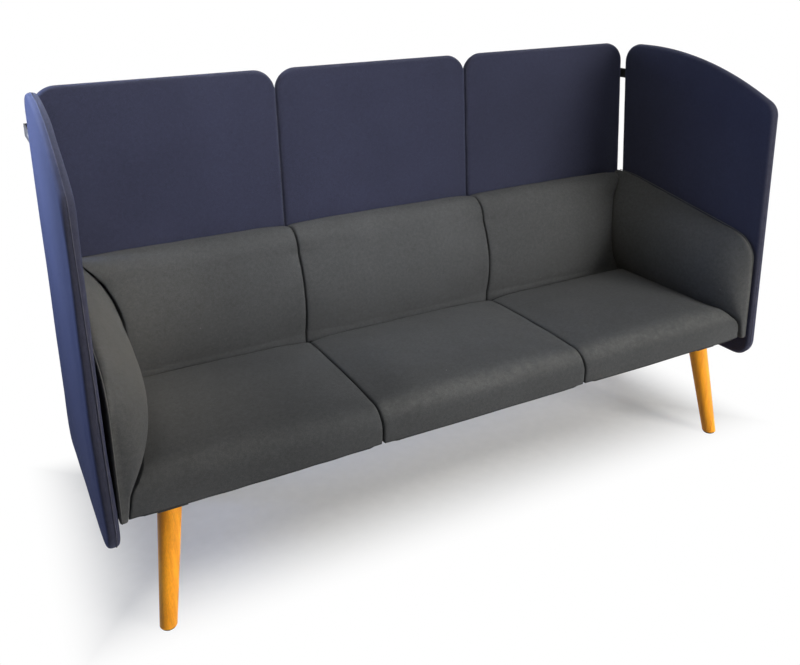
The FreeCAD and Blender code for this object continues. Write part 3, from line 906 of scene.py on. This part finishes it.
def make_side_screens():
    right = "side_screen_cover_right"
    mesh, points, free = screen_skin(right, np.array((1.0, 0.0, 0.0)))
    edge = screen_edge(right, along=1, across=0)
    pivot_y = box_of(right)[1][1]
    for place in ("right", "left"):
        cover = "side_screen_cover_" + place
        shown = screen_on_side(points, place, pivot_y)
        screen_piece(mesh, shown, place == "left", free, side_screen_seeds[place], cover)
        path = screen_on_side(edge, place, pivot_y)
        seam("side_screen_seam_" + place, path, "navy_fabric")


make_seats()
make_backs()
make_arms()
make_back_screens()
make_side_screens()


# CAD pieces that show as they are

slots = {row["node"]: row["material_slot"] for row in frame["record"]["subparts"]}
for name, obj in frame["nodes"].items():
    obj.data.materials.clear()
    obj.data.materials.append(materials[slots[name]])


# Camera


def photo_camera():
    turn = Matrix.Rotation(camera_turn, 3, "Z") @ Matrix.Rotation(camera_tilt, 3, "X")
    right = turn @ Vector((1, 0, 0))
    forward = turn @ Vector((0, 1, 0))
    up = turn @ Vector((0, 0, 1))
    rolled_right = right * math.cos(camera_roll) + up * math.sin(camera_roll)
    rolled_up = up * math.cos(camera_roll) - right * math.sin(camera_roll)
    data = bpy.data.cameras.new("camera")
    data.sensor_width = sensor_width
    data.lens = focal_pixels / image_width * sensor_width
    data.shift_x = (image_width / 2 - principal_point[0]) / image_width
    data.shift_y = (principal_point[1] - image_height / 2) / image_width
    made = bpy.data.objects.new("camera", data)
    rows = Matrix((rolled_right, rolled_up, -forward)).transposed().to_4x4()
    made.matrix_world = Matrix.Translation(camera_place) @ rows
    scene.collection.objects.link(made)
    scene.camera = made


photo_camera()


# Light and floor


def area_light(name, place, target, size, power, colour, spread_deg=180.0):
    data = bpy.data.lights.new(name, "AREA")
    data.shape = "RECTANGLE"
    data.size, data.size_y = size
    data.energy = power
    data.color = colour
    data.spread = math.radians(spread_deg)
    made = bpy.data.objects.new(name, data)
    made.location = place
    direction = Vector(target) - Vector(place)
    made.rotation_mode = "QUATERNION"
    made.rotation_quaternion = direction.to_track_quat("-Z", "Y")
    scene.collection.objects.link(made)


area_light(
    "key",
    place=(2.3, -3.6, 1.9),
    target=(-0.2, 0.3, 0.75),
    size=(1.6, 1.6),
    power=104.0,
    colour=(1.0, 0.96, 0.90),
)
area_light(
    "low",
    place=(1.6, -2.2, 0.9),
    target=(-0.8, -0.1, 0.5),
    size=(0.8, 0.8),
    power=14.0,
    colour=(1.0, 0.97, 0.90),
)
area_light(
    "top",
    place=(0.5, 0.1, 3.4),
    target=(0.5, 0.0, 0.4),
    size=(3.6, 2.4),
    power=24.0,
    colour=white,
)
area_light(
    "corner",
    place=(-1.1, -1.5, 2.1),
    target=(-0.8, 0.25, 1.25),
    size=(0.6, 0.6),
    power=1.5,
    colour=(1.0, 0.98, 0.94),
    spread_deg=50.0,
)
area_light(
    "backs",
    place=(-0.3, -1.2, 2.4),
    target=(-0.55, 0.3, 1.15),
    size=(0.6, 0.6),
    power=2.1,
    colour=white,
    spread_deg=62.0,
)
area_light(
    "window",
    place=(-2.6, 1.0, 1.3),
    target=(-1.0, 0.1, 0.92),
    size=(0.6, 0.6),
    power=5.6,
    colour=(0.31, 0.46, 1.0),
    spread_deg=54.0,
)
area_light(
    "window_top",
    place=(-1.9, 0.6, 1.6),
    target=(-1.0, 0.1, 1.2),
    size=(0.4, 0.4),
    power=3.4,
    colour=(0.60, 0.72, 1.0),
    spread_deg=44.0,
)
area_light(
    "arm",
    place=(0.2, -0.9, 1.5),
    target=(-0.95, 0.0, 0.60),
    size=(0.3, 0.3),
    power=0.52,
    colour=(1.0, 0.84, 0.60),
    spread_deg=28.0,
)
area_light(
    "leg_left",
    place=(-0.25, -1.5, 0.25),
    target=(-0.87, -0.28, 0.15),
    size=(0.15, 0.15),
    power=0.165,
    colour=(1.0, 0.96, 0.90),
    spread_deg=21.0,
)
area_light(
    "leg_right",
    place=(1.3, -1.6, 0.25),
    target=(0.87, -0.28, 0.15),
    size=(0.15, 0.15),
    power=0.16,
    colour=(1.0, 0.96, 0.90),
    spread_deg=21.0,
)
area_light(
    "middle",
    place=(0.1, -1.6, 2.2),
    target=(0.05, 0.1, 0.55),
    size=(0.6, 0.6),
    power=0.90,
    colour=(1.0, 0.99, 0.97),
    spread_deg=32.0,
)
area_light(
    "upper",
    place=(0.2, -1.6, 2.0),
    target=(0.5, 0.35, 1.45),
    size=(0.6, 0.6),
    power=0.60,
    colour=white,
    spread_deg=34.0,
)
area_light(
    "side",
    place=(-0.9, -1.6, 1.9),
    target=(0.95, 0.1, 0.75),
    size=(0.5, 0.5),
    power=0.28,
    colour=(1.0, 0.88, 0.62),
    spread_deg=30.0,
)
area_light(
    "rear",
    place=(0.9, 3.4, 1.7),
    target=(0.0, 0.35, 0.7),
    size=(2.0, 1.4),
    power=60.0,
    colour=white,
)


def shown_ray(tree):
    """1 for rays that reach the floor or the sky from the camera or from a gloss."""
    path = node(tree, "ShaderNodeLightPath").outputs
    seen = math_node(tree, "ADD", path["Is Camera Ray"], path["Is Glossy Ray"])
    seen = math_node(tree, "ADD", seen, path["Is Transmission Ray"])
    return math_node(tree, "MINIMUM", seen, 1.0)


def make_world():
    world = bpy.data.worlds.new("world")
    world.use_nodes = True
    scene.world = world
    tree = world.node_tree
    background = tree.nodes["Background"]
    tree.links.new(mixed(tree, shown_ray(tree), dim_sky, white), background.inputs["Color"])


def make_floor():
    mesh = bpy.data.meshes.new("floor")
    signs = ((-1, -1), (1, -1), (1, 1), (-1, 1))
    corners = [(x * floor_reach, y * floor_reach, 0.0) for x, y in signs]
    mesh.from_pydata(corners, [], [range(len(corners))])
    floor = bpy.data.objects.new("floor", mesh)
    floor.location.z = -floor_drop
    scene.collection.objects.link(floor)
    made, tree, shader, place = material("floor")
    shader.inputs["Roughness"].default_value = 0.9
    # Painted shadow: the floor's grey tone round the sofa
    shadow_grey = toned(tree, noise(tree, place, floor_scale, detail=4.0), shadow_floor_tone)
    tree.links.new(shadow_grey, shader.inputs["Base Color"])
    glow = node(tree, "ShaderNodeEmission", {"Color": floor_glow_colour})
    tree.links.new(product(tree, shown_ray(tree), floor_glow), glow.inputs["Strength"])
    both = node(tree, "ShaderNodeAddShader", {0: shader.outputs[0], 1: glow.outputs[0]})
    far = node(tree, "ShaderNodeEmission", {"Color": (*white, 1.0)})
    # Painted shadow: grey round the sofa's footprint, fading to white beyond it for shown rays
    along, deep, _ = node(tree, "ShaderNodeSeparateXYZ", {0: place}).outputs
    ends = eased_spread(tree, math_node(tree, "ABSOLUTE", along), *shadow_end_fade)
    front = eased_spread(tree, product(tree, deep, -1.0), *shadow_front_fade)
    rear = eased_spread(tree, deep, *shadow_rear_fade)
    share = math_node(tree, "MAXIMUM", math_node(tree, "MAXIMUM", ends, front), rear)
    fade = product(tree, share, shown_ray(tree))
    blend = node(tree, "ShaderNodeMixShader", {0: fade, 1: both.outputs[0], 2: far.outputs[0]})
    tree.links.new(blend.outputs[0], tree.nodes["Material Output"].inputs["Surface"])
    mesh.materials.append(made)


make_world()
make_floor()
scene.view_settings.view_transform = "Standard"
